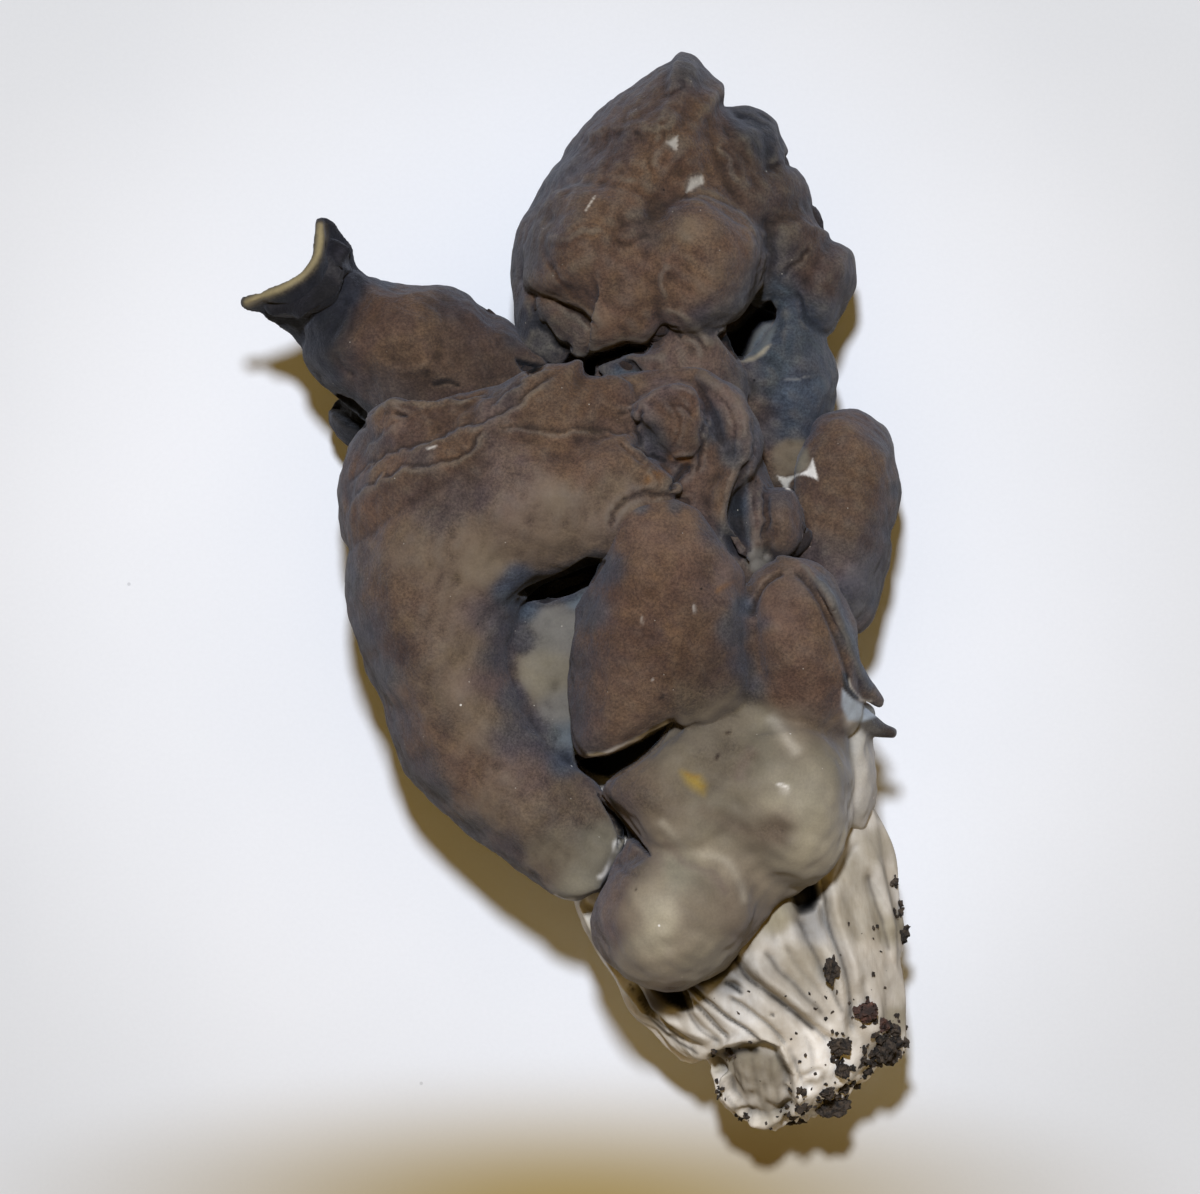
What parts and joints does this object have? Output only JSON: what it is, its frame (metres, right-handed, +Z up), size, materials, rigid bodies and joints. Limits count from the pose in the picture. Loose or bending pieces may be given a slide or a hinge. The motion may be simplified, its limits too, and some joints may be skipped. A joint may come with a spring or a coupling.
{
  "type": "elfin saddle mushroom",
  "caption": "Elfin saddle mushroom lying on its side: a dark brown cap folded into lobes and ears, on a pale, deeply ribbed stem with soil stuck to its torn foot.",
  "frame": {"origin": "on the table, under the middle of the mushroom's bounding box", "axes": "+Y along the mushroom from the stem's torn foot to the cap's crest, +Z up from the table it lies on, +X across the cap away from its ear"},
  "size_m": [0.0794, 0.1298, 0.047],
  "materials": {
    "cap": "matte",
    "stem": "matte",
    "soil": "matte",
    "bark": "matte"
  },
  "bodies": {
    "root": {"cap": "cap", "stem": "stem", "soil_crumb_1": "soil", "soil_crumb_2": "soil", "soil_crumb_3": "soil", "soil_crumb_4": "soil", "soil_clod_1": "soil", "soil_clod_2": "soil", "soil_clod_3": "soil", "bark_chip_1": "bark", "bark_chip_2": "bark"}
  },
  "joints": []
}
